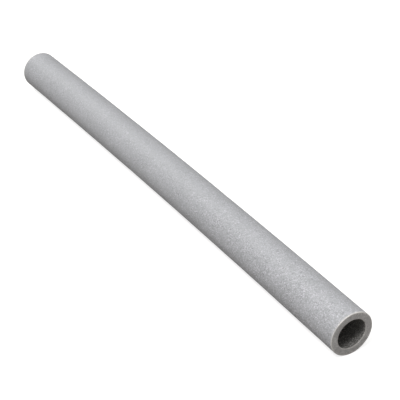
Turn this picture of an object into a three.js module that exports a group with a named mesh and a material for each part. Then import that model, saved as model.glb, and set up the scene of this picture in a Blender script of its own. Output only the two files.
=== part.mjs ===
// A length of grey foam lagging for a heating or water pipe.
//
// It is one extruded tube of closed-cell foam, cut square at both ends. It lies
// loose on the floor along X and has the slight sideways bow that such a tube
// takes in its bundle: the middle stands towards +Y, and both ends turn a
// little towards -Y.
//
// Millimetres, +Z up. The origin is on the floor, below the middle of the tube.

import * as THREE from "three";

// Driving sizes
const LENGTH = 1000; // measured along the tube's own axis
const BORE_DIAMETER = 49; // slides over a pipe of 48.3 mm
const WALL = 11.5;
const BOW = 5; // how far the middle stands off the line between the two ends
const RIM_ROUND = 0.8; // softened knife cut around the outside of each end
const MOUTH_ROUND = 0.9; // softened knife cut around each mouth of the bore

// How finely the round shapes are faceted
const SIDES = 64; // around the tube
const STRETCHES = 10; // along the bow
const ROUND_STEPS = 3; // across each softened edge

// Sizes that follow from the driving ones
const BORE_RADIUS = BORE_DIAMETER / 2;
const OUTER_RADIUS = BORE_RADIUS + WALL;
const BEND_RADIUS = LENGTH ** 2 / (8 * BOW); // of the shallow arc that has this bow

// Points of one long wall of the section, from one place along the axis to another.
function longWall(radius, from, to) {
  return Array.from({ length: STRETCHES + 1 }, (_, i) =>
    new THREE.Vector2(radius, from + ((to - from) * i) / STRETCHES),
  );
}

// Points of a softened edge: a quarter turn about a centre, in the section's plane.
function softEdge(centreRadius, centreAlong, round, startAngle) {
  return Array.from({ length: ROUND_STEPS + 1 }, (_, i) => {
    const angle = startAngle + ((Math.PI / 2) * i) / ROUND_STEPS;
    return new THREE.Vector2(
      centreRadius + round * Math.cos(angle),
      centreAlong + round * Math.sin(angle),
    );
  });
}

// The closed outline of the wall, as radius and place along the axis. It runs up the outside,
// across one cut end, back down the bore and across the other cut end.
function wallSection() {
  const half = LENGTH / 2;
  const rimEnd = half - RIM_ROUND;
  const mouthEnd = half - MOUTH_ROUND;
  const rimCentre = OUTER_RADIUS - RIM_ROUND;
  const mouthCentre = BORE_RADIUS + MOUTH_ROUND;
  const outline = [
    ...longWall(OUTER_RADIUS, -rimEnd, rimEnd),
    ...softEdge(rimCentre, rimEnd, RIM_ROUND, 0).slice(1),
    ...softEdge(mouthCentre, mouthEnd, MOUTH_ROUND, Math.PI / 2),
    ...longWall(BORE_RADIUS, mouthEnd, -mouthEnd).slice(1),
    ...softEdge(mouthCentre, -mouthEnd, MOUTH_ROUND, Math.PI).slice(1),
    ...softEdge(rimCentre, -rimEnd, RIM_ROUND, 1.5 * Math.PI),
  ];
  outline[outline.length - 1] = outline[0];
  return outline;
}

// Lays a straight tube along X onto the arc of the bow. Sections stay square to the tube's own axis.
function bowSideways(geometry) {
  const position = geometry.getAttribute("position");
  for (let i = 0; i < position.count; i++) {
    const turn = position.getX(i) / BEND_RADIUS;
    const reach = BEND_RADIUS + position.getY(i);
    position.setXY(i, reach * Math.sin(turn), reach * Math.cos(turn) - BEND_RADIUS);
  }
}

// The tube's solid, with its axis through the origin at mid-length.
function tubeGeometry() {
  const geometry = new THREE.LatheGeometry(wallSection(), SIDES);
  geometry.rotateZ(-Math.PI / 2);
  bowSideways(geometry);
  geometry.computeVertexNormals();
  return geometry;
}

const foam = new THREE.MeshStandardMaterial({
  name: "grey_foam",
  color: 0xaaaaac,
  roughness: 0.62,
  metalness: 0,
});

const tube = new THREE.Mesh(tubeGeometry(), foam);
tube.name = "foam_tube";
tube.position.set(0, BOW / 2, OUTER_RADIUS);

const lagging = new THREE.Group();
lagging.add(tube);

export default lagging;
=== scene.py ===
"""Grey foam pipe lagging: one metre of extruded tube, dressed over its CAD frame.

The tube is one closed mesh that a Geometry Nodes tree lathes, bows and gives its low relief. It
carries three finishes: the skin, the cut ends and the wall of the bore. Everything is in metres,
+Z up, with the origin on the floor below the middle of the tube.
"""

import logging
import math
from abc import ABC, abstractmethod
from collections.abc import Mapping, Sequence
from dataclasses import dataclass, field
from enum import Enum
from typing import NamedTuple, Optional, Union

import bpy
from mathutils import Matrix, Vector


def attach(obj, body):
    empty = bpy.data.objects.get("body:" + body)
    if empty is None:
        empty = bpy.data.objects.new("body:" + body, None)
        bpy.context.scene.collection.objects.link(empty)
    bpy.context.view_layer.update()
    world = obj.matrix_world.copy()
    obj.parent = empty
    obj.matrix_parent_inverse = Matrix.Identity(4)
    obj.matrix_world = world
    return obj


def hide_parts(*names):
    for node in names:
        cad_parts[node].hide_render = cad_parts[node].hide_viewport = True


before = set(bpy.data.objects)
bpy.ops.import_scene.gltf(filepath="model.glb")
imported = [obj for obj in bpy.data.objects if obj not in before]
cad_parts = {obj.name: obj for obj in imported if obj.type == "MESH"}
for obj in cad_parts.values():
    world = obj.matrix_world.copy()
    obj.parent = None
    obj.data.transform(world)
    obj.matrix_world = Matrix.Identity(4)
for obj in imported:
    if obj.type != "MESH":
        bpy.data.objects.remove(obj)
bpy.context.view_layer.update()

LOG = logging.getLogger("lagging")
MM = 0.001
HAIR = 1e-6  # metres, too little to see and more than a rounding error
RIM_FRAY_AND_HIGHLIGHT = "edge"  # the attribute that says how pale a place is along the cut edges, partly real fraying and partly a painted highlight
WHITE = (1.0, 1.0, 1.0, 1.0)

Socket = bpy.types.NodeSocket
Feed = Union[float, int, str, Sequence[float], Socket, bpy.types.Material]
Colour = tuple[float, float, float, float]


class Zone(Enum):
    """The three surfaces of the tube that look different."""

    SKIN = "skin"
    CUT = "cut_end"
    BORE = "bore_wall"


class Seed(Enum):
    """Which pattern each noise of the finishes draws, so that no two are alike."""

    MOTTLE = 1.0
    CLOUD = 2.0
    GRAIN = 3.0
    STRETCH = 4.0
    PATCH = 11.0
    STAIN = 12.0
    TEAR = 21.0
    FRAY_AND_HIGHLIGHT = 31.0
    SPELL = 32.0


class Change(NamedTuple):
    """A smooth change of one number while another one passes through a stretch.

    Attributes:
        start: Where the stretch starts.
        end: Where it ends.
        before: The number up to its start.
        after: The number from its end on.
    """

    start: float
    end: float
    before: float = 0.0
    after: float = 1.0


class Surface(NamedTuple):
    """What a finish hands to its shader.

    Attributes:
        colour: The colour.
        roughness: How matt it is.
        normal: The way that it faces, with its fine relief.
    """

    colour: Feed
    roughness: Feed
    normal: Feed


class Graph:
    """The nodes of one tree, added and wired in reading order."""

    def __init__(self, tree: bpy.types.NodeTree) -> None:
        """Keeps the tree that the nodes go into.

        Args:
            tree: A shader or geometry tree.
        """
        self.tree = tree

    def feed(self, socket: Socket, value: Feed) -> None:
        """Links a socket to its source, or sets its constant.

        Args:
            socket: The input to fill.
            value: Another node's output, or a constant.
        """
        if isinstance(value, Socket):
            self.tree.links.new(value, socket)
        else:
            socket.default_value = value

    def add(
        self,
        kind: str,
        inputs: Optional[Mapping[Union[str, int], Feed]] = None,
        **settings: object,
    ) -> bpy.types.Node:
        """Adds one node.

        Args:
            kind: The node's type name.
            inputs: What goes into its sockets, by name or number.
            **settings: Its own properties.

        Returns:
            The new node.
        """
        node = self.tree.nodes.new(kind)
        for name, value in settings.items():
            setattr(node, name, value)
        for key, value in (inputs or {}).items():
            self.feed(node.inputs[key], value)
        return node

    def math(self, operation: str, *values: Feed, clamp: bool = False) -> Socket:
        """Adds a Math node.

        Args:
            operation: Its operation.
            *values: Its one to three numbers.
            clamp: Whether the result is kept between 0 and 1.

        Returns:
            Its result.
        """
        inputs = dict(enumerate(values))
        node = self.add("ShaderNodeMath", inputs, operation=operation, use_clamp=clamp)
        return node.outputs[0]

    def vector(self, operation: str, *values: Feed) -> Socket:
        """Adds a Vector Math node.

        Args:
            operation: Its operation.
            *values: Its vectors; the factor of SCALE comes second.

        Returns:
            Its result, a number for DOT_PRODUCT, LENGTH and DISTANCE.
        """
        slots = [0, 3] if operation == "SCALE" else [0, 1, 2]
        node = self.add("ShaderNodeVectorMath", dict(zip(slots, values)), operation=operation)
        is_number = operation in ("DOT_PRODUCT", "LENGTH", "DISTANCE")
        return node.outputs[1 if is_number else 0]

    def combine(self, x: Feed, y: Feed, z: Feed) -> Socket:
        """Joins three numbers into a vector."""
        return self.add("ShaderNodeCombineXYZ", {0: x, 1: y, 2: z}).outputs[0]

    def separate(self, vector: Feed) -> list[Socket]:
        """Splits a vector into its X, Y and Z."""
        return list(self.add("ShaderNodeSeparateXYZ", {0: vector}).outputs)

    def ramp(
        self, value: Feed, start: Feed, end: Feed, before: Feed = 0.0, after: Feed = 1.0
    ) -> Socket:
        """Changes a number smoothly while another one passes through a stretch.

        Args:
            value: The number that passes.
            start: Where the stretch starts.
            end: Where it ends.
            before: The number up to its start.
            after: The number from its end on.

        Returns:
            The changing number.
        """
        inputs = dict(enumerate((value, start, end, before, after)))
        return self.add("ShaderNodeMapRange", inputs, interpolation_type="SMOOTHSTEP").outputs[0]

    def mix_colour(self, factor: Feed, first: Feed, second: Feed) -> Socket:
        """Mixes two colours.

        Args:
            factor: The share of the second one.
            first: The colour at 0.
            second: The colour at 1.

        Returns:
            The mixed colour.
        """
        inputs = {0: factor, 6: first, 7: second}
        return self.add("ShaderNodeMix", inputs, data_type="RGBA").outputs[2]

    def noise(self, place: Feed, size: float, detail: float, seed: Union[Seed, Feed]) -> Socket:
        """Adds smooth noise around 0.5.

        Args:
            place: Where it is read.
            size: How far apart its lumps are, in metres.
            detail: How many finer layers it has.
            seed: Which pattern it is.

        Returns:
            The noise, from 0 to 1.
        """
        chosen = seed.value if isinstance(seed, Seed) else seed
        inputs = {"Vector": place, "W": chosen, "Scale": 1.0 / size, "Detail": detail}
        return self.add("ShaderNodeTexNoise", inputs, noise_dimensions="4D").outputs[0]

    def cells(self, place: Feed, size: float) -> tuple[Socket, Socket]:
        """Adds a field of foam cells.

        Args:
            place: Where it is read.
            size: How far apart the cells are, in metres.

        Returns:
            The distance from each cell's middle, and a colour that is the cell's own.
        """
        outputs = self.add("ShaderNodeTexVoronoi", {"Vector": place, "Scale": 1.0 / size}).outputs
        return outputs["Distance"], outputs["Color"]

    def bump(
        self, height: Feed, distance: float, strength: Feed, under: Optional[Feed] = None
    ) -> Socket:
        """Adds fine relief to the shading.

        Args:
            height: The relief, from 0 to 1.
            distance: How high 1 stands, in metres.
            strength: How much of it shows.
            under: The normal of a coarser relief that it lies on.

        Returns:
            The normal.
        """
        inputs = {"Height": height, "Distance": distance, "Strength": strength}
        if under is not None:
            inputs["Normal"] = under
        return self.add("ShaderNodeBump", inputs).outputs[0]


class ShapeGraph(Graph):
    """The nodes of one Geometry Nodes tree."""

    def position(self) -> Socket:
        """Reads where each point is."""
        return self.add("GeometryNodeInputPosition").outputs[0]

    def normal(self) -> Socket:
        """Reads the way that each place faces."""
        return self.add("GeometryNodeInputNormal").outputs[0]

    def move(self, shape: Feed, **where: Feed) -> Socket:
        """Moves the points of a mesh or curve.

        Args:
            shape: The mesh or curve.
            **where: The Selection, Position or Offset of its points.

        Returns:
            The moved shape.
        """
        return self.add("GeometryNodeSetPosition", {"Geometry": shape, **where}).outputs[0]

    def store(self, shape: Feed, name: str, value: Feed, data_type: str, domain: str) -> Socket:
        """Keeps a value in a named attribute.

        Args:
            shape: The mesh.
            name: The attribute.
            value: What it holds.
            data_type: The type of its values.
            domain: The part of the mesh that each value belongs to.

        Returns:
            The mesh with the attribute.
        """
        inputs = {"Geometry": shape, "Name": name, "Value": value}
        kind = "GeometryNodeStoreNamedAttribute"
        return self.add(kind, inputs, data_type=data_type, domain=domain).outputs[0]


@dataclass(frozen=True)
class Patches:
    """Soft patches that make a surface vary from place to place.

    Attributes:
        seed: Which pattern they are.
        spacing: How far apart they are.
        detail: How many finer layers they have.
        change: What they give, over the height of their noise, which is from 0 to 1.
    """

    seed: Seed
    spacing: float
    detail: float
    change: Change

    def noise(self, graph: Graph, place: Socket) -> Socket:
        """Adds the noise that the patches follow."""
        return graph.noise(place, self.spacing, self.detail, self.seed)

    def draw(self, graph: Graph, place: Socket) -> Socket:
        """Adds the patches, and returns what they give at each place."""
        return graph.ramp(self.noise(graph, place), *self.change)


@dataclass(frozen=True)
class Bump:
    """A layer of fine relief in the shading alone.

    Attributes:
        height: From its lowest to its highest places.
        strength: How much of it shows.
    """

    height: float
    strength: float

    def lay(
        self,
        graph: Graph,
        relief: Feed,
        under: Optional[Feed] = None,
        shown: Optional[Feed] = None,
    ) -> Socket:
        """Adds the layer.

        Args:
            graph: The material's nodes.
            relief: Its shape, from 0 to 1.
            under: The normal of a coarser layer that it lies on.
            shown: A factor on its strength that changes from place to place.

        Returns:
            The normal.
        """
        strength: Feed = self.strength
        if shown is not None:
            strength = graph.math("MULTIPLY", shown, strength)
        return graph.bump(relief, self.height, strength, under)


@dataclass(frozen=True)
class Finish(ABC):
    """What the three surfaces of the foam have in common.

    Attributes:
        name: The material's name.
        colour: The plain colour of the foam, linear.
        light: The colour of its thin cell walls, linear.
        dark: The colour down in its cells, linear.
        roughness: How matt it is.
        shine: How strongly it reflects, 0.5 for solid plastic.
        fray_and_highlight: The paler colour along the edges that the knife left, linear; partly
            real fraying, partly a painted highlight where those edges catch the light.
        tufts: How pale those edges are, from tuft to tuft.
        spells: How pale they are over longer spells.
    """

    name: str
    colour: Colour
    light: Colour
    dark: Colour
    roughness: float
    shine: float
    fray_and_highlight: Colour = (0.85, 0.82, 0.775, 1.0)
    tufts: Patches = Patches(Seed.FRAY_AND_HIGHLIGHT, 2.5 * MM, 2.0, Change(0.25, 0.7, 0.5, 1.0))
    spells: Patches = Patches(Seed.SPELL, 16.0 * MM, 1.0, Change(0.35, 0.65, 0.75, 1.0))

    @abstractmethod
    def pattern(self, graph: Graph, place: Socket) -> Surface:
        """Draws the surface's own pattern.

        Args:
            graph: The material's nodes.
            place: The object coordinates that it is read at.

        Returns:
            The surface without its pale cut edges.
        """

    def material(self) -> bpy.types.Material:
        """Builds the material, with the pale edges of the cuts over its own pattern; they are
        partly real fraying and partly a painted highlight.

        Returns:
            The finished material.
        """
        material = bpy.data.materials.new(self.name)
        material.use_nodes = True
        material.diffuse_color = self.colour
        graph = Graph(material.node_tree)
        shader = material.node_tree.nodes["Principled BSDF"]
        place = graph.add("ShaderNodeTexCoord").outputs["Object"]
        surface = self.pattern(graph, place)
        # Paler along the cut edges: partly real fraying, partly a painted highlight where the edges
        # catch the light.
        edge = graph.add("ShaderNodeAttribute", attribute_name=RIM_FRAY_AND_HIGHLIGHT).outputs["Fac"]
        fray_and_highlight_mix = graph.math("MULTIPLY", self.tufts.draw(graph, place), self.spells.draw(graph, place))
        fray_and_highlight_mix = graph.math("MULTIPLY", edge, fray_and_highlight_mix)
        colour = graph.mix_colour(fray_and_highlight_mix, surface.colour, self.fray_and_highlight)
        graph.feed(shader.inputs["Base Color"], colour)
        graph.feed(shader.inputs["Roughness"], surface.roughness)
        graph.feed(shader.inputs["Specular IOR Level"], self.shine)
        graph.feed(shader.inputs["Normal"], surface.normal)
        return material


@dataclass(frozen=True)
class FoamSkin(Finish):
    """The extruded skin: pebbled by the cells right under it, with a dull satin shine.

    Attributes:
        cell: Spacing of the cells that show through.
        dome: How a cell's skin falls away from its middle, over the distance from it in cells.
        grain: Spacing of the finest unevenness.
        mottle: The small patches of lighter and darker foam.
        cloud: The slow changes of tone along the tube.
        stretch: How much lighter or darker single cells are, from one stretch to another.
        spark: Which cells are painted as glints, over a number from 0 to 1 that is each cell's own.
        painted_glint: How far their colour is lightened, painted glints that stand in for specular
            ones.
        gloss: How much less rough they are, which is a real shine.
        along: How much the cells show, over the place along X.
        axis: A point on the tube's axis.
        pebbled: The way from the axis, one radius long, to the side where the cells show most.
        around: How much they show, over the share of the way to that side.
        mottle_bump: The relief of the small patches.
        cell_bump: The relief of the cells.
        grain_bump: The relief of the finest unevenness.
    """

    name: str = "foam_skin"
    colour: Colour = (0.397, 0.402, 0.414, 1.0)
    # The colour of the lighter cells, and also of the painted glints.
    light: Colour = (0.68, 0.667, 0.712, 1.0)
    dark: Colour = (0.194, 0.194, 0.197, 1.0)
    roughness: float = 0.5
    shine: float = 0.3
    cell: float = 1.1 * MM
    dome: Change = Change(0.05, 0.75, 1.0, 0.0)
    grain: float = 1.1 * MM
    mottle: Patches = Patches(Seed.MOTTLE, 5.0 * MM, 2.0, Change(0.3, 0.7, -0.03, 0.03))
    cloud: Patches = Patches(Seed.CLOUD, 45.0 * MM, 2.0, Change(0.3, 0.7, -0.035, 0.035))
    stretch: Patches = Patches(Seed.STRETCH, 14.0 * MM, 1.0, Change(0.3, 0.7, 0.52, 0.93))
    spark: Change = Change(0.88, 0.97)
    painted_glint: float = 0.7
    gloss: float = 0.2
    along: Change = Change(-0.1, 0.4, 0.64, 1.12)
    axis: tuple[float, float, float] = (0.0, 0.0, 36.0 * MM)
    pebbled: tuple[float, float, float] = (0.0, -36.0 * MM, 0.0)
    around: Change = Change(0.2, 0.9, 0.78, 1.1)
    mottle_bump: Bump = Bump(0.4 * MM, 0.14)
    cell_bump: Bump = Bump(0.35 * MM, 0.42)
    grain_bump: Bump = Bump(0.25 * MM, 0.4)

    def shown(self, graph: Graph, place: Socket) -> Socket:
        """Works out how much the cells show.

        Args:
            graph: The material's nodes.
            place: The object coordinates that it is read at.

        Returns:
            A factor on everything that makes the cells visible.
        """
        along = graph.ramp(graph.separate(place)[0], *self.along)
        whole = sum(step * step for step in self.pebbled)
        side = graph.vector("DOT_PRODUCT", graph.vector("SUBTRACT", place, self.axis), self.pebbled)
        start, end, before, after = self.around
        around = graph.ramp(side, start * whole, end * whole, before, after)
        return graph.math("MULTIPLY", along, around)

    def pattern(self, graph: Graph, place: Socket) -> Surface:
        """Draws pale and dark cells over slow changes of tone.

        Args:
            graph: The material's nodes.
            place: The object coordinates that it is read at.

        Returns:
            The skin without its pale cut edges.
        """
        distance, own = graph.cells(place, self.cell)
        own, spark, _ = graph.separate(own)
        shown = self.shown(graph, place)
        mottle = self.mottle.noise(graph, place)
        tone = graph.ramp(mottle, *self.mottle.change)
        tone = graph.math("ADD", tone, self.cloud.draw(graph, place))
        # The cube keeps most cells near the plain colour and makes a few stand out.
        lone = graph.math("POWER", graph.math("MULTIPLY_ADD", own, 2.0, -1.0), 3.0)
        busy = graph.math("MULTIPLY", self.stretch.draw(graph, place), shown)
        tone = graph.math("ADD", tone, graph.math("MULTIPLY", lone, busy))
        lift = graph.math("MAXIMUM", tone, 0.0)
        shade = graph.math("MAXIMUM", graph.math("MULTIPLY", tone, -1.0), 0.0)
        colour = graph.mix_colour(lift, self.colour, self.light)
        colour = graph.mix_colour(shade, colour, self.dark)
        # Painted glints: a few cells have their colour lightened to stand in for specular glints,
        # most where the cells show; only their lower roughness is real.
        spark = graph.ramp(spark, *self.spark)
        painted_glint = graph.math("MULTIPLY", graph.math("MULTIPLY", spark, shown), self.painted_glint)
        colour = graph.mix_colour(painted_glint, colour, self.light)
        roughness = graph.ramp(spark, 0.0, 1.0, self.roughness, self.roughness - self.gloss)
        normal = self.mottle_bump.lay(graph, mottle)
        normal = self.cell_bump.lay(graph, graph.ramp(distance, *self.dome), normal, shown)
        grain = graph.noise(place, self.grain, 1.0, Seed.GRAIN)
        normal = self.grain_bump.lay(graph, grain, normal, shown)
        return Surface(colour, roughness, normal)


@dataclass(frozen=True)
class CutFoam(Finish):
    """The knife cut at each end: matt, a shade warmer and darker, with the cells laid open.

    Attributes:
        cell: Spacing of the open cells.
        rise: How a cell rises from its middle to its rim, over the distance from it in cells.
        hollow: How dark the darkest cells are painted in their middle, painted shade in the open
            pits.
        patch: How light the rims are where the knife dragged more or less.
        stain: The broad darker patches.
        patch_bump: The relief of the knife's drag.
        cell_bump: The relief of the cells.
    """

    name: str = "foam_cut"
    colour: Colour = (0.457, 0.444, 0.435, 1.0)
    light: Colour = (0.668, 0.65, 0.637, 1.0)
    dark: Colour = (0.235, 0.227, 0.221, 1.0)
    roughness: float = 0.9
    shine: float = 0.2
    cell: float = 1.2 * MM
    rise: Change = Change(0.15, 0.75)
    hollow: float = 0.9
    patch: Patches = Patches(Seed.PATCH, 5.0 * MM, 2.0, Change(0.3, 0.7, 0.0, 0.8))
    stain: Patches = Patches(Seed.STAIN, 13.0 * MM, 1.0, Change(0.35, 0.65, 0.0, 0.22))
    patch_bump: Bump = Bump(0.5 * MM, 0.4)
    cell_bump: Bump = Bump(0.35 * MM, 0.6)

    def pattern(self, graph: Graph, place: Socket) -> Surface:
        """Draws open cells, darker where they are deep.

        Args:
            graph: The material's nodes.
            place: The object coordinates that it is read at.

        Returns:
            The cut without its pale edges.
        """
        distance, own = graph.cells(place, self.cell)
        rise = graph.ramp(distance, *self.rise)
        own = graph.separate(own)[0]
        patch = self.patch.noise(graph, place)
        # Painted shade: some open cells are darkened in their middles, where they are deepest.
        hollow = graph.math("MULTIPLY", graph.math("SUBTRACT", 1.0, rise), own)
        hollow = graph.math("MULTIPLY", hollow, self.hollow)
        colour = graph.mix_colour(hollow, self.colour, self.dark)
        lift = graph.math("MULTIPLY", rise, graph.ramp(patch, *self.patch.change))
        colour = graph.mix_colour(lift, colour, self.light)
        colour = graph.mix_colour(self.stain.draw(graph, place), colour, self.dark)
        normal = self.patch_bump.lay(graph, patch)
        normal = self.cell_bump.lay(graph, rise, normal)
        return Surface(colour, self.roughness, normal)


@dataclass(frozen=True)
class BoreWall(Finish):
    """The wall of the bore: coarser than the skin, dull, darker partly as painted shade, with stray
    light cells painted in as glints.

    Attributes:
        cell: Spacing of the cells.
        rise: How a cell rises from its middle to its rim, over the distance from it in cells.
        stray: How light the stray cells are painted, as glints in the colour, over a number from 0
            to 1 that is each cell's own.
        tear: The torn places, which are darker.
        cell_bump: The relief of the cells.
        tear_bump: The relief of the torn places.
    """

    name: str = "foam_bore"
    # Darker than the skin's foam: partly the rougher torn wall, partly painted shade for the dim
    # inside of the bore.
    colour: Colour = (0.195, 0.19, 0.18, 1.0)
    light: Colour = (0.50, 0.487, 0.464, 1.0)
    dark: Colour = (0.065, 0.063, 0.06, 1.0)
    roughness: float = 0.8
    shine: float = 0.3
    cell: float = 1.0 * MM
    rise: Change = Change(0.2, 0.8)
    stray: Change = Change(0.75, 0.95, 0.0, 0.7)
    tear: Patches = Patches(Seed.TEAR, 1.2 * MM, 1.0, Change(0.35, 0.65, 0.0, 0.8))
    cell_bump: Bump = Bump(0.5 * MM, 0.7)
    tear_bump: Bump = Bump(0.5 * MM, 0.7)

    def pattern(self, graph: Graph, place: Socket) -> Surface:
        """Draws torn cells, a few of them light.

        Args:
            graph: The material's nodes.
            place: The object coordinates that it is read at.

        Returns:
            The wall of the bore without its pale cut edges.
        """
        distance, own = graph.cells(place, self.cell)
        # Painted glints: stray cells have their colour lightened to stand in for specular glints.
        stray = graph.ramp(graph.separate(own)[1], *self.stray)
        tear = self.tear.noise(graph, place)
        colour = graph.mix_colour(graph.ramp(tear, *self.tear.change), self.colour, self.dark)
        colour = graph.mix_colour(stray, colour, self.light)
        normal = self.cell_bump.lay(graph, graph.ramp(distance, *self.rise))
        normal = self.tear_bump.lay(graph, tear, normal)
        return Surface(colour, self.roughness, normal)


@dataclass(frozen=True)
class Relief:
    """One layer of low relief, half above and half below the surface that it lies on.

    Attributes:
        name: The tree's input that sets its depth.
        zone: The surface that it lies on.
        depth: From its lowest to its highest places.
        spacing: How far apart its lumps are.
        detail: How many finer layers it has.
        share: Its height as a share of its depth, over its noise, which is from 0 to 1.
    """

    name: str
    zone: Zone
    depth: float
    spacing: float
    detail: float
    share: Change = Change(0.2, 0.8, -0.5, 0.5)

    def height(self, graph: Graph, place: Socket, seed: Feed, depth: Feed) -> Socket:
        """Draws the layer.

        Args:
            graph: The tube's tree.
            place: Where it is read.
            seed: Which pattern it is.
            depth: The tree's input that sets its depth.

        Returns:
            How far each place stands out.
        """
        lump = graph.noise(place, self.spacing, self.detail, seed)
        return graph.math("MULTIPLY", graph.ramp(lump, *self.share), depth)


@dataclass
class FoamTube:
    """The tube itself, cut from the extruder's endless hose.

    Attributes:
        name: Its name in the scene.
        length: Along its own axis.
        bore_diameter: Of the hole that the pipe goes through.
        wall: Thickness of the foam.
        bow: How far the middle stands off the line between the two ends, towards +Y.
        rim_round: Softening of the outer edge of each cut.
        mouth_round: Softening of the inner edge of each cut.
        sides: Faces round the tube.
        skin_rings: Faces along the skin.
        bore_rings: Faces along the bore.
        bore_grading: How much closer together these are at the two mouths, 1 for not at all.
        face_rings: Faces across the wall at each end.
        round_steps: Faces across each softened edge.
        weld: How close two points of the lathed skin have to be to become one.
        fray_and_highlight_reach: How the pale cut edges end along the axis, over the distance from
            each cut; they are partly real fraying and partly a painted highlight.
        fray_and_highlight_width: How far they reach inward across the cut from the rim's rounding.
        fray_and_highlight_cut: How pale the cut is painted right beside the rim's rounding.
        fray_and_highlight_turn: How pale the edges are, over how far a place is turned from the
            cut.
        fray_and_highlight_mouth: The same, from the mouth, which looks inward, to the rim, which
            looks outward.
        turn: How square to the skin or the bore a face has to be to count as theirs, 1 for fully.
        seed: Which noise the first layer of relief is made of, and each further one counts on.
        reliefs: The extruder's slow swelling, the skin's dimples, the knife's waves in a cut and
            the unevenness of the bore.
        finishes: What each surface looks like; the first is laid over the whole tube.
    """

    name: str = "lagging_tube"
    length: float = 1.0
    bore_diameter: float = 49.0 * MM
    wall: float = 11.5 * MM
    bow: float = 5.0 * MM
    rim_round: float = 0.8 * MM
    mouth_round: float = 0.9 * MM
    sides: int = 144
    skin_rings: int = 520
    bore_rings: int = 64
    bore_grading: float = 1.9
    face_rings: int = 8
    round_steps: int = 4
    weld: float = 1e-7
    fray_and_highlight_reach: Change = Change(0.5 * MM, 1.7 * MM, 1.0, 0.0)
    fray_and_highlight_width: float = 2.6 * MM
    fray_and_highlight_cut: float = 0.45
    fray_and_highlight_turn: Change = Change(0.05, 0.4)
    fray_and_highlight_mouth: Change = Change(-0.2, 0.2, 0.6, 1.0)
    turn: float = 0.45
    seed: float = 4.0
    reliefs: tuple[Relief, ...] = (
        Relief("Swell", Zone.SKIN, 0.35 * MM, 70.0 * MM, 1.0),
        Relief("Dimple", Zone.SKIN, 0.1 * MM, 7.0 * MM, 2.0),
        Relief("Cut Wave", Zone.CUT, 0.2 * MM, 14.0 * MM, 1.0),
        Relief("Bore Relief", Zone.BORE, 0.4 * MM, 8.0 * MM, 2.0),
    )
    finishes: Mapping[Zone, Finish] = field(
        default_factory=lambda: {
            Zone.CUT: CutFoam(),
            Zone.SKIN: FoamSkin(),
            Zone.BORE: BoreWall(),
        }
    )

    def tree_inputs(self) -> dict[str, tuple[str, Union[float, int]]]:
        """Lists the tree's inputs.

        Returns:
            Each input's name, with its socket type and value.
        """
        number, whole = "NodeSocketFloat", "NodeSocketInt"
        inputs = {
            "Length": (number, self.length),
            "Bore Radius": (number, self.bore_diameter / 2),
            "Outer Radius": (number, self.bore_diameter / 2 + self.wall),
            "Bow": (number, self.bow),
            "Rim Round": (number, self.rim_round),
            "Mouth Round": (number, self.mouth_round),
            "Sides": (whole, self.sides),
            "Skin Rings": (whole, self.skin_rings),
            "Bore Rings": (whole, self.bore_rings),
            "Face Rings": (whole, self.face_rings),
            "Round Steps": (whole, self.round_steps),
            "Seed": (number, self.seed),
        }
        for relief in self.reliefs:
            inputs[relief.name] = (number, relief.depth)
        return inputs

    def is_outer(self, graph: ShapeGraph, size: Mapping[str, Socket]) -> Socket:
        """Tells the outer half of the outline from the inner one.

        Args:
            graph: The tube's tree.
            size: The tree's inputs by name.

        Returns:
            1 outside the middle of the wall and 0 inside it.
        """
        middle = graph.math("ADD", size["Outer Radius"], size["Bore Radius"])
        middle = graph.math("MULTIPLY", middle, 0.5)
        return graph.math("GREATER_THAN", graph.separate(graph.position())[1], middle)

    def draw_outline(self, graph: ShapeGraph, size: Mapping[str, Socket]) -> Socket:
        """Draws the closed outline of the wall, as place along the axis and radius.

        Args:
            graph: The tube's tree.
            size: The tree's inputs by name.

        Returns:
            The outline, a closed curve with softened corners.
        """
        half = graph.math("MULTIPLY", size["Length"], 0.5)
        back = graph.math("MULTIPLY", half, -1.0)
        corners = {
            "Point 1": graph.combine(back, size["Outer Radius"], 0.0),
            "Point 2": graph.combine(half, size["Outer Radius"], 0.0),
            "Point 3": graph.combine(half, size["Bore Radius"], 0.0),
            "Point 4": graph.combine(back, size["Bore Radius"], 0.0),
        }
        square = graph.add("GeometryNodeCurvePrimitiveQuadrilateral", corners, mode="POINTS")
        change = graph.math("SUBTRACT", size["Rim Round"], size["Mouth Round"])
        outer = self.is_outer(graph, size)
        radius = graph.math("MULTIPLY_ADD", outer, change, size["Mouth Round"])
        corner = {"Curve": square.outputs[0], "Count": size["Round Steps"], "Radius": radius}
        return graph.add("GeometryNodeFilletCurve", corner, mode="POLY").outputs[0]

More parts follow.
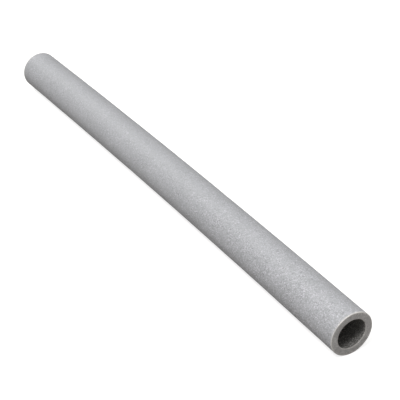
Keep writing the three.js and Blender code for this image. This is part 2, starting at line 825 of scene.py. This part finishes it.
    def cut_rings(self, graph: ShapeGraph, outline: Feed, size: Mapping[str, Socket]) -> Socket:
        """Cuts up the straight sides of the outline, one point for each ring of the mesh.

        Args:
            graph: The tube's tree.
            outline: The closed outline.
            size: The tree's inputs by name.

        Returns:
            The outline with all its points.
        """
        place = graph.position()
        index = graph.add("GeometryNodeInputIndex").outputs[0]
        step = {"Point Index": index, "Offset": 1}
        following = graph.add("GeometryNodeOffsetPointInCurve", step).outputs["Point Index"]
        there = {"Value": place, "Index": following}
        ahead = graph.add("GeometryNodeFieldAtIndex", there, data_type="FLOAT_VECTOR").outputs[0]
        reach = graph.vector("DISTANCE", place, ahead)
        half = graph.math("MULTIPLY", size["Length"], 0.5)
        is_long = graph.math("GREATER_THAN", reach, half)
        wall = graph.math("SUBTRACT", size["Outer Radius"], size["Bore Radius"])
        is_face = graph.math("GREATER_THAN", reach, graph.math("MULTIPLY", wall, 0.5))
        is_face = graph.math("SUBTRACT", is_face, is_long)
        more = graph.math("SUBTRACT", size["Skin Rings"], size["Bore Rings"])
        along = graph.math("MULTIPLY_ADD", self.is_outer(graph, size), more, size["Bore Rings"])
        cuts = graph.math("MULTIPLY", is_long, graph.math("SUBTRACT", along, 1.0))
        across = graph.math("SUBTRACT", size["Face Rings"], 1.0)
        cuts = graph.math("MULTIPLY_ADD", is_face, across, cuts)
        finer = graph.add("GeometryNodeSubdivideCurve", {"Curve": outline, "Cuts": cuts})
        return finer.outputs[0]

    def grade_bore(self, graph: ShapeGraph, outline: Feed, size: Mapping[str, Socket]) -> Socket:
        """Moves the rings of the bore towards its two mouths, where they can be seen.

        Args:
            graph: The tube's tree.
            outline: The closed outline.
            size: The tree's inputs by name.

        Returns:
            The outline with its bore graded.
        """
        along, radius, _ = graph.separate(graph.position())
        edge = graph.math("ADD", size["Bore Radius"], HAIR)
        in_bore = graph.math("LESS_THAN", radius, edge)
        half = graph.math("MULTIPLY", size["Length"], 0.5)
        half = graph.math("SUBTRACT", half, size["Mouth Round"])
        share = graph.math("DIVIDE", graph.math("ABSOLUTE", along), half, clamp=True)
        left = graph.math("POWER", graph.math("SUBTRACT", 1.0, share), self.bore_grading)
        graded = graph.math("MULTIPLY", graph.math("SUBTRACT", 1.0, left), half)
        graded = graph.math("MULTIPLY", graded, graph.math("SIGN", along))
        return graph.move(outline, Selection=in_bore, Position=graph.combine(graded, radius, 0.0))

    def lathe(self, graph: ShapeGraph, outline: Feed, size: Mapping[str, Socket]) -> Socket:
        """Turns the outline once round the X axis into a closed skin of quads.

        Args:
            graph: The tube's tree.
            outline: The closed outline.
            size: The tree's inputs by name.

        Returns:
            The straight tube, its axis on the X axis.
        """
        curve = {"Geometry": outline}
        count = graph.add("GeometryNodeAttributeDomainSize", curve, component="CURVE")
        rings = count.outputs["Point Count"]
        grid = {
            "Size X": 1.0,
            "Size Y": 1.0,
            "Vertices X": graph.math("ADD", size["Sides"], 1.0),
            "Vertices Y": graph.math("ADD", rings, 1.0),
        }
        sheet = graph.add("GeometryNodeMeshGrid", grid).outputs[0]
        place = graph.position()
        laid = graph.vector("ADD", place, (0.5, 0.5, 0.0))
        turn, step, _ = graph.separate(laid)
        ring = graph.math("ROUND", graph.math("MULTIPLY", step, rings))
        ring = graph.math("FLOORED_MODULO", ring, rings)
        there = {"Geometry": outline, "Value": place, "Index": ring}
        sample = graph.add("GeometryNodeSampleIndex", there, data_type="FLOAT_VECTOR")
        along, radius, _ = graph.separate(sample.outputs[0])
        angle = graph.math("MULTIPLY", turn, math.tau)
        side = graph.math("MULTIPLY", radius, graph.math("COSINE", angle))
        rise = graph.math("MULTIPLY", radius, graph.math("SINE", angle))
        sheet = graph.store(sheet, "UVMap", laid, data_type="FLOAT2", domain="CORNER")
        rolled = graph.move(sheet, Position=graph.combine(along, side, rise))
        seam = {"Geometry": rolled, "Distance": self.weld}
        return graph.add("GeometryNodeMergeByDistance", seam).outputs[0]

    def measure_facing(self, graph: ShapeGraph, tube: Feed) -> tuple[Socket, Socket, Socket]:
        """Finds out how far each place looks away from the axis.

        Args:
            graph: The tube's tree.
            tube: The straight tube.

        Returns:
            The tube, how far each face of it looks outward, 1, or inward, -1, which it keeps, and
            the same at the place where it is read.
        """
        _, side, rise = graph.separate(graph.position())
        outward = graph.vector("NORMALIZE", graph.combine(0.0, side, rise))
        facing = graph.vector("DOT_PRODUCT", graph.normal(), outward)
        held = graph.add("GeometryNodeCaptureAttribute", {"Geometry": tube}, domain="FACE")
        held.capture_items.new("FLOAT", "Facing")
        graph.feed(held.inputs["Facing"], facing)
        return held.outputs["Geometry"], held.outputs["Facing"], facing

    def mark_edges(
        self, graph: ShapeGraph, tube: Feed, facing: Feed, size: Mapping[str, Socket]
    ) -> Socket:
        """Marks the pale edges of the cuts for the finishes, in an attribute; they are partly real
        fraying and partly a painted highlight.

        Args:
            graph: The tube's tree.
            tube: The straight tube.
            facing: How far each place looks outward, 1, or inward, -1.
            size: The tree's inputs by name.

        Returns:
            The tube with its edges marked.
        """
        along, side, rise = graph.separate(graph.position())
        half = graph.math("MULTIPLY", size["Length"], 0.5)
        inset = graph.math("SUBTRACT", half, graph.math("ABSOLUTE", along))
        near = graph.ramp(inset, *self.fray_and_highlight_reach)
        turned = graph.ramp(graph.math("ABSOLUTE", facing), *self.fray_and_highlight_turn)
        turned = graph.math("MULTIPLY", turned, graph.ramp(facing, *self.fray_and_highlight_mouth))
        outer = graph.math("SUBTRACT", size["Outer Radius"], size["Rim Round"])
        inner = graph.math("SUBTRACT", outer, self.fray_and_highlight_width)
        radius = graph.vector("LENGTH", graph.combine(0.0, side, rise))
        across = graph.ramp(radius, inner, outer, 0.0, self.fray_and_highlight_cut)
        # Painted highlight and real fraying: how pale each place is along the cut edges.
        fray_and_highlight = graph.math("MULTIPLY", near, graph.math("MAXIMUM", turned, across))
        return graph.store(tube, RIM_FRAY_AND_HIGHLIGHT, fray_and_highlight, data_type="FLOAT", domain="POINT")

    def roughen(
        self, graph: ShapeGraph, tube: Feed, facing: Feed, size: Mapping[str, Socket]
    ) -> Socket:
        """Gives each surface its low relief, half above and half below the CAD surface.

        Args:
            graph: The tube's tree.
            tube: The straight tube.
            facing: How far each place looks outward, 1, or inward, -1.
            size: The tree's inputs by name.

        Returns:
            The uneven tube.
        """
        place = graph.position()
        inward = graph.math("MULTIPLY", facing, -1.0)
        share = {
            Zone.SKIN: graph.math("MAXIMUM", facing, 0.0),
            Zone.CUT: graph.math("SUBTRACT", 1.0, graph.math("ABSOLUTE", facing)),
            Zone.BORE: graph.math("MAXIMUM", inward, 0.0),
        }
        height: Feed = 0.0
        for shift, relief in enumerate(self.reliefs):
            seed = graph.math("ADD", size["Seed"], float(shift))
            layer = relief.height(graph, place, seed, size[relief.name])
            height = graph.math("MULTIPLY_ADD", layer, share[relief.zone], height)
        return graph.move(tube, Offset=graph.vector("SCALE", graph.normal(), height))

    def bend(self, graph: ShapeGraph, tube: Feed, size: Mapping[str, Socket]) -> Socket:
        """Lays the tube on the floor along the shallow arc that has its bow.

        Args:
            graph: The tube's tree.
            tube: The straight tube.
            size: The tree's inputs by name.

        Returns:
            The bowed tube in its final place.
        """
        # An arc of this length with this bow has the radius length ** 2 / (8 * bow).
        squared = graph.math("MULTIPLY", size["Length"], size["Length"])
        hollow = graph.math("MULTIPLY", graph.math("MAXIMUM", size["Bow"], HAIR), 8.0)
        radius = graph.math("DIVIDE", squared, hollow)
        along, side, rise = graph.separate(graph.position())
        turn = graph.math("DIVIDE", along, radius)
        reach = graph.math("ADD", side, radius)
        x = graph.math("MULTIPLY", reach, graph.math("SINE", turn))
        y = graph.math("MULTIPLY", reach, graph.math("COSINE", turn))
        y = graph.math("SUBTRACT", y, radius)
        y = graph.math("MULTIPLY_ADD", size["Bow"], 0.5, y)
        z = graph.math("MAXIMUM", graph.math("ADD", rise, size["Outer Radius"]), 0.0)
        return graph.move(tube, Position=graph.combine(x, y, z))

    def dress(self, graph: ShapeGraph, tube: Feed, facing: Feed) -> Socket:
        """Gives each face its finish.

        Args:
            graph: The tube's tree.
            tube: The bowed tube.
            facing: How far each face looks outward, 1, or inward, -1.

        Returns:
            The finished tube.
        """
        smooth = graph.add("GeometryNodeSetShadeSmooth", {"Geometry": tube}).outputs[0]
        dressed = graph.add("GeometryNodeRealizeInstances", {"Geometry": smooth}).outputs[0]
        chosen = {
            Zone.SKIN: graph.math("GREATER_THAN", facing, self.turn),
            Zone.BORE: graph.math("LESS_THAN", facing, -self.turn),
        }
        for zone, finish in self.finishes.items():
            inputs = {"Geometry": dressed, "Material": finish.material()}
            if zone in chosen:
                inputs["Selection"] = chosen[zone]
            dressed = graph.add("GeometryNodeSetMaterial", inputs).outputs[0]
        return dressed

    def build_tree(self) -> tuple[bpy.types.NodeTree, dict[str, str]]:
        """Builds the whole tree.

        Returns:
            The tree, and the identifier of each named input.
        """
        tree = bpy.data.node_groups.new("foam_tube_lathe", "GeometryNodeTree")
        names = {}
        for name, (kind, value) in self.tree_inputs().items():
            socket = tree.interface.new_socket(name, in_out="INPUT", socket_type=kind)
            socket.default_value = value
            names[name] = socket.identifier
        tree.interface.new_socket("Tube", in_out="OUTPUT", socket_type="NodeSocketGeometry")
        graph = ShapeGraph(tree)
        entry = graph.add("NodeGroupInput")
        size = {name: entry.outputs[name] for name in names}
        outline = self.cut_rings(graph, self.draw_outline(graph, size), size)
        tube = self.lathe(graph, self.grade_bore(graph, outline, size), size)
        tube, held, facing = self.measure_facing(graph, tube)
        tube = self.mark_edges(graph, tube, facing, size)
        tube = self.roughen(graph, tube, facing, size)
        tube = self.dress(graph, self.bend(graph, tube, size), held)
        graph.add("NodeGroupOutput", {"Tube": tube})
        return tree, names

    def build(self) -> bpy.types.Object:
        """Makes the tube a plain mesh and puts it in the place of its CAD node.

        Returns:
            The tube.
        """
        tree, names = self.build_tree()
        tube = bpy.data.objects.new(self.name, bpy.data.meshes.new(self.name))
        bpy.context.scene.collection.objects.link(tube)
        lathe = tube.modifiers.new("lathe", "NODES")
        lathe.node_group = tree
        for name, (_, value) in self.tree_inputs().items():
            lathe[names[name]] = value
        depsgraph = bpy.context.evaluated_depsgraph_get()
        mesh = bpy.data.meshes.new_from_object(tube.evaluated_get(depsgraph), depsgraph=depsgraph)
        tube.modifiers.remove(lathe)
        tube.data = mesh
        mesh.name = self.name
        # The evaluated mesh keeps an empty slot from the mesh that it started as.
        for slot in reversed(range(len(mesh.materials))):
            if mesh.materials[slot] is None:
                mesh.materials.pop(index=slot)
        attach(tube, "root")
        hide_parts("foam_tube")
        return tube


@dataclass
class SoftLight:
    """One large soft light, so far off that it lights the whole floor evenly.

    Attributes:
        name: Its name.
        side: How far it stands from overhead towards +X, in degrees.
        front: How far it stands from overhead towards -Y, in degrees.
        spread: How wide it looks from the floor, in degrees.
        strength: Its light on a surface that faces it, in watts per square metre.
        distance: Where its object is kept, which changes nothing in its light.
    """

    name: str
    side: float
    front: float
    spread: float
    strength: float
    distance: float = 4.0

    def hang(self) -> bpy.types.Object:
        """Makes the light.

        Returns:
            The light's object.
        """
        data = bpy.data.lights.new(self.name, "SUN")
        data.angle = math.radians(self.spread)
        data.energy = self.strength
        lamp = bpy.data.objects.new(self.name, data)
        side, front = math.tan(math.radians(self.side)), math.tan(math.radians(self.front))
        towards = Vector((side, -front, 1.0)).normalized()
        lamp.location = towards * self.distance
        lamp.rotation_euler = (-towards).to_track_quat("-Z", "Y").to_euler()
        bpy.context.scene.collection.objects.link(lamp)
        return lamp


@dataclass
class Studio:
    """A plain paper floor under soft lights, bleached to the photograph's pale ground.

    Attributes:
        floor_side: Side of the square floor.
        floor_colour: Its colour, which also tints the light that it throws back.
        floor_roughness: How matt it is.
        floor_shine: How strongly it reflects.
        bleach: Brightness that the picture adds to the floor, which lights nothing.
        backdrop: Brightness of the picture beyond the floor, which lights nothing.
        sky: Brightness of the even light from all round.
        lights: The soft lights.
    """

    floor_side: float = 40.0
    floor_colour: Colour = (0.35, 0.34, 0.327, 1.0)
    floor_roughness: float = 0.9
    floor_shine: float = 0.1
    bleach: float = 0.83
    backdrop: float = 1.0
    sky: float = 0.21
    lights: tuple[SoftLight, ...] = (
        SoftLight("near_end", 11.0, 27.0, 17.0, 1.88),
        SoftLight("far_end", -37.0, 12.0, 45.0, 1.48),
        SoftLight("behind", 0.0, -55.0, 60.0, 0.17),
        SoftLight("open_end", 62.0, 10.0, 100.0, 0.3),
    )

    def lay_floor(self) -> bpy.types.Object:
        """Makes the floor.

        Returns:
            The floor's object.
        """
        half = self.floor_side / 2
        corners = [(-half, -half, 0), (half, -half, 0), (half, half, 0), (-half, half, 0)]
        mesh = bpy.data.meshes.new("floor")
        mesh.from_pydata(corners, [], [(0, 1, 2, 3)])
        material = bpy.data.materials.new("floor_paper")
        material.use_nodes = True
        graph = Graph(material.node_tree)
        shader = material.node_tree.nodes["Principled BSDF"]
        graph.feed(shader.inputs["Base Color"], self.floor_colour)
        graph.feed(shader.inputs["Roughness"], self.floor_roughness)
        graph.feed(shader.inputs["Specular IOR Level"], self.floor_shine)
        graph.feed(shader.inputs["Emission Color"], WHITE)
        seen = graph.add("ShaderNodeLightPath").outputs["Is Camera Ray"]
        graph.feed(shader.inputs["Emission Strength"], graph.math("MULTIPLY", seen, self.bleach))
        mesh.materials.append(material)
        ground = bpy.data.objects.new("floor", mesh)
        bpy.context.scene.collection.objects.link(ground)
        return ground

    def build(self) -> int:
        """Makes the floor, the even light and the soft lights.

        Returns:
            How many soft lights hang.
        """
        self.lay_floor()
        world = bpy.data.worlds.new("studio")
        world.use_nodes = True
        graph = Graph(world.node_tree)
        even = world.node_tree.nodes["Background"]
        seen = graph.add("ShaderNodeLightPath").outputs["Is Camera Ray"]
        strength = graph.math("MULTIPLY_ADD", seen, self.backdrop - self.sky, self.sky)
        graph.feed(even.inputs["Color"], WHITE)
        graph.feed(even.inputs["Strength"], strength)
        bpy.context.scene.world = world
        for light in self.lights:
            light.hang()
        bpy.context.scene.view_settings.view_transform = "Standard"
        return len(self.lights)


@dataclass
class Viewpoint:
    """The camera where the photograph was taken from.

    Attributes:
        azimuth: Degrees round the object; 0 looks along +Y.
        elevation: Degrees above the floor.
        distance: From the point it looks at.
        aim: The point that is in the middle of the picture.
        lens: Focal length, in mm.
        sensor: Width of the sensor, in mm.
        sight: How far the camera sees.
    """

    azimuth: float = 57.58
    elevation: float = 32.351
    distance: float = 1.90233
    aim: tuple[float, float, float] = (0.08961, 0.0061, 0.036)
    lens: float = 103.234
    sensor: float = 36.0
    sight: float = 100.0

    def build(self) -> bpy.types.Object:
        """Makes the camera.

        Returns:
            The camera's object.
        """
        turn, lift = math.radians(self.azimuth), math.radians(self.elevation)
        level = math.cos(lift)
        back = Vector((math.sin(turn) * level, -math.cos(turn) * level, math.sin(lift)))
        data = bpy.data.cameras.new("photo_view")
        data.sensor_width = self.sensor
        data.lens = self.lens
        data.clip_end = self.sight
        camera = bpy.data.objects.new("photo_view", data)
        camera.location = Vector(self.aim) + back * self.distance
        camera.rotation_euler = (-back).to_track_quat("-Z", "Y").to_euler()
        bpy.context.scene.collection.objects.link(camera)
        bpy.context.scene.camera = camera
        return camera


def main() -> None:
    """Builds the camera, the tube and the studio in that order."""
    logging.basicConfig(level=logging.INFO, format="%(name)s: %(message)s")
    Viewpoint().build()
    LOG.info("camera set")
    tube = FoamTube().build()
    finishes = ", ".join(material.name for material in tube.data.materials)
    LOG.info("%s: %d faces in %s", tube.name, len(tube.data.polygons), finishes)
    LOG.info("studio with %d soft lights", Studio().build())


if __name__ == "__main__":
    main()
